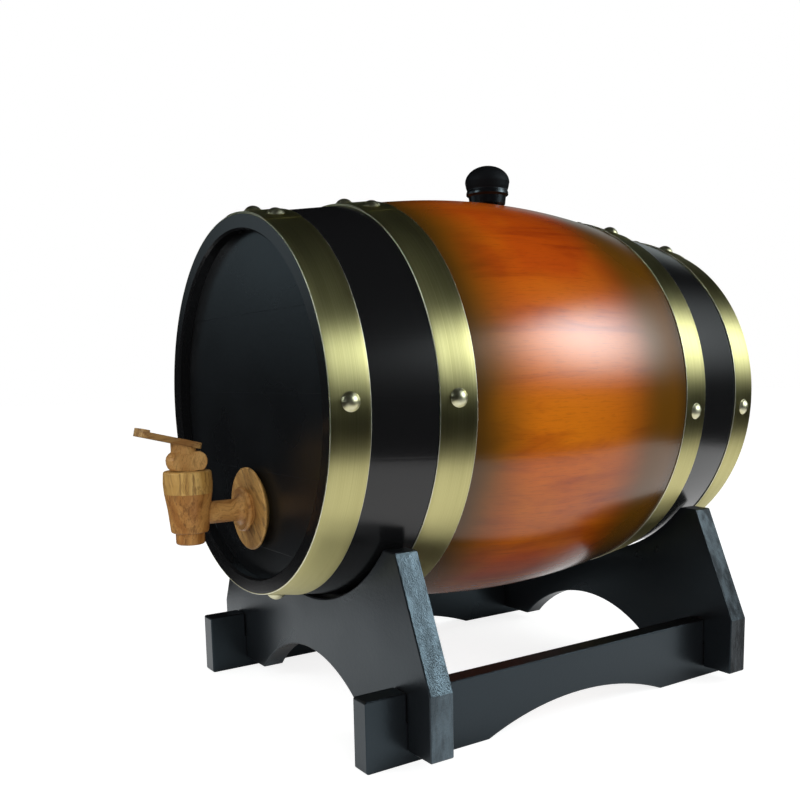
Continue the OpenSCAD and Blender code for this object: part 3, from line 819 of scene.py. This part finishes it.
def seen_rays(tree):
    """1 for what the camera sees, directly, mirrored or through glass, and otherwise 0."""
    path = tree.nodes.new("ShaderNodeLightPath")
    total = path.outputs["Is Camera Ray"]
    for name in ("Is Glossy Ray", "Is Transmission Ray"):
        add = tree.nodes.new("ShaderNodeMath")
        add.operation = "MAXIMUM"
        tree.links.new(total, add.inputs[0])
        tree.links.new(path.outputs[name], add.inputs[1])
        total = add.outputs[0]
    return total


AMBIENT = 0.42
SQUARE = ((-1, -1), (1, -1), (1, 1), (-1, 1))
FLOOR_HALF = 6.0
FLOOR_GLOW = 0.82
SHADE_REACH = 0.3
SHADE_OPEN = (0.22, 0.66)
SHADE_DEPTH = 0.78
SHEET_LOW = (-0.22, -0.20)
SHEET_HIGH = (0.27, 0.42)
CARD_LIFT = 1 * MM
ROOM_STEPS = 48
ROOM_LEVELS = ((2.2, CARD_LIFT), (2.2, 0.9), (1.5, 1.9), (0.5, 2.2))
KEY_AIM = (53, 22)
KEY_HALF = (46, 22)
KEY_GLOW = 13.5
KEY_CORE = (-0.12, 0.16)
KEY_WIDE = (0.0, 0.45, 0.05)
KEY_LEVELS = (-0.85, 0.2, 0.25, 0.82)
KEY_COLOUR = (0.92, 1.0, 1.02, 1)
SCREEN_DISTANCE = 1.5
BACK_DISTANCE = 1.6
SOFT_START = 0.3


def make_world():
    world = bpy.data.worlds.new("studio")
    bpy.context.scene.world = world
    world.use_nodes = True
    tree = world.node_tree
    background = tree.nodes["Background"]
    mix = tree.nodes.new("ShaderNodeMix")
    mix.data_type = "FLOAT"
    tree.links.new(seen_rays(tree), mix.inputs[0])
    mix.inputs[2].default_value = AMBIENT
    mix.inputs[3].default_value = 1.0
    background.inputs[0].default_value = (1, 1, 1, 1)
    tree.links.new(mix.outputs[0], background.inputs[1])


def make_floor():
    corners = [(FLOOR_HALF * x, FLOOR_HALF * y, 0) for x, y in SQUARE]
    floor = new_object("floor", corners, [(0, 1, 2, 3)])
    m = Nodes("floor")
    m.set(Base_Color=(0.5, 0.5, 0.5, 1), Roughness=0.9, Specular_IOR_Level=0.0)
    m.set(Emission_Color=(1, 1, 1, 1))
    near = m.add("ShaderNodeAmbientOcclusion", {"Distance": SHADE_REACH}, samples=8)
    mirrored = m.add("ShaderNodeLightPath").outputs["Is Glossy Ray"]
    contact = m.ramp(near.outputs["AO"], *SHADE_OPEN, SHADE_DEPTH, 0.0)
    shade = m.math("MULTIPLY", mirrored, contact)
    glow = m.math("MULTIPLY", seen_rays(m.tree), m.math("SUBTRACT", FLOOR_GLOW, shade))
    m.set(Emission_Strength=glow)
    dress(floor, m.material)


def only_mirrored(card):
    """Leaves the card to reflections alone, as part of the stage."""
    card.visible_camera = False
    card.visible_diffuse = False
    card.visible_shadow = False
    card.visible_transmission = False
    card.visible_volume_scatter = False


def dark_card(name, verts, faces):
    """A black card round the set, which only reflections see."""
    card = new_object(name, verts, faces)
    m = Nodes(name)
    m.set(Base_Color=(0.012, 0.012, 0.013, 1), Roughness=1.0, Specular_IOR_Level=0.0)
    dress(card, m.material)
    only_mirrored(card)


def make_cards():
    """A black room round a white sheet, as the reflections in the photograph show them."""
    steps = ROOM_STEPS
    turns = [2 * math.pi * k / steps for k in range(steps)]
    ring = [(math.cos(a), math.sin(a)) for a in turns]
    low, high = SHEET_LOW, SHEET_HIGH
    sheet = []
    for c, s in ring:
        along_x = (high[0] if c > 0 else -low[0]) / max(abs(c), TINY)
        along_y = (high[1] if s > 0 else -low[1]) / max(abs(s), TINY)
        reach = min(along_x, along_y)
        sheet.append((reach * c, reach * s, CARD_LIFT))
    verts = list(sheet)
    verts += [(r * c, r * s, z) for r, z in ROOM_LEVELS for c, s in ring]
    faces = []
    for i in range(len(ROOM_LEVELS)):
        for k in range(steps):
            j = (k + 1) % steps
            faces.append((i * steps + k, i * steps + j, (i + 1) * steps + j, (i + 1) * steps + k))
    faces.append(tuple(range(len(ROOM_LEVELS) * steps, (len(ROOM_LEVELS) + 1) * steps)))
    dark_card("dark_surround", verts, faces)


def way(azimuth, elevation):
    """Unit vector towards an azimuth from +X to +Y and an elevation, in degrees."""
    a, e = math.radians(azimuth), math.radians(elevation)
    return Vector((math.cos(a) * math.cos(e), math.sin(a) * math.cos(e), math.sin(e)))


def glowing_card(name, azimuth, elevation, distance, half_angles, strength, colour, shape):
    """A lit screen that only reflections see.

    shape gives its glow from its own coordinates, which run from -1 to 1 both ways.
    """
    out = way(azimuth, elevation)
    side = Vector((-out.y, out.x, 0)).normalized()
    up = out.cross(side)
    half_w, half_h = (distance * math.tan(math.radians(v)) for v in half_angles)
    middle = FOCUS + out * distance
    points = [middle + side * (u * half_w) + up * (v * half_h) for u, v in SQUARE]
    card = new_object(name, points, [(0, 1, 2, 3)])
    add_uv(card, lambda index, co: SQUARE[index])
    m = Nodes(name)
    m.set(Base_Color=(0, 0, 0, 1), Roughness=1.0, Specular_IOR_Level=0.0, Emission_Color=colour)
    u, v, _ = m.split(m.uv())
    m.set(Emission_Strength=m.math("MULTIPLY", shape(m, u, v), strength))
    dress(card, m.material)
    only_mirrored(card)


def bell(m, value, centre, spread):
    """A bell curve of the value."""
    off = m.math("DIVIDE", m.math("SUBTRACT", value, centre), spread)
    return m.math("POWER", math.e, m.math("MULTIPLY", m.math("MULTIPLY", off, off), -0.5))


def key_shape(m, u, v):
    """The key light's glow: a bright core in a wide faint band, fading upwards and downwards."""
    core = bell(m, u, KEY_CORE[0], KEY_CORE[1])
    wide = m.math("MULTIPLY", bell(m, u, KEY_WIDE[0], KEY_WIDE[1]), KEY_WIDE[2])
    across = m.math("ADD", core, wide)
    rise = m.ramp(v, KEY_LEVELS[0], KEY_LEVELS[1])
    fall = m.ramp(v, KEY_LEVELS[2], KEY_LEVELS[3], 1.0, 0.0)
    edge = m.ramp(m.math("ABSOLUTE", u), 0.8, 1.0, 1.0, 0.0)
    return m.math("MULTIPLY", m.math("MULTIPLY", across, edge), m.math("MULTIPLY", rise, fall))


def soft_shape(m, u, v):
    """A glow that fades towards all four sides."""
    fades = [m.ramp(m.math("ABSOLUTE", value), SOFT_START, 1.0, 1.0, 0.0) for value in (u, v)]
    return m.math("MULTIPLY", fades[0], fades[1])


def unseen_softbox(*args):
    """A softbox that isn't mirrored in the surfaces, because a lit screen stands for it there."""
    softbox(*args).visible_glossy = False


def make_lights():
    unseen_softbox("key_right", way(49, 24), 1.3, (0.9, 0.56), 6.2, (0.96, 1.0, 1.0))
    unseen_softbox("front", way(-22, 10), 1.4, (0.7, 0.5), 5.0, (0.97, 1.0, 1.0))
    unseen_softbox("left", way(-100, 22), 1.3, (0.5, 0.5), 4.0, (0.93, 0.98, 1.0))
    near, far = SCREEN_DISTANCE, BACK_DISTANCE
    glowing_card("key_screen", *KEY_AIM, near, KEY_HALF, KEY_GLOW, KEY_COLOUR, key_shape)
    glowing_card("left_screen", -100, 24, near, (14, 12), 9.0, (0.9, 0.98, 1.0, 1), soft_shape)
    glowing_card("far_left_screen", -140, 14, far, (22, 13), 0.5, (0.74, 0.92, 1.0, 1), soft_shape)
    glowing_card("back_screen", 125, 19, far, (18, 13), 0.4, (0.9, 1.0, 1.0, 1), soft_shape)


make_camera()
make_world()
make_floor()
make_cards()
make_lights()
make_staves()
make_hoops()
dress_solids()

bpy.context.scene.view_settings.view_transform = "Standard"
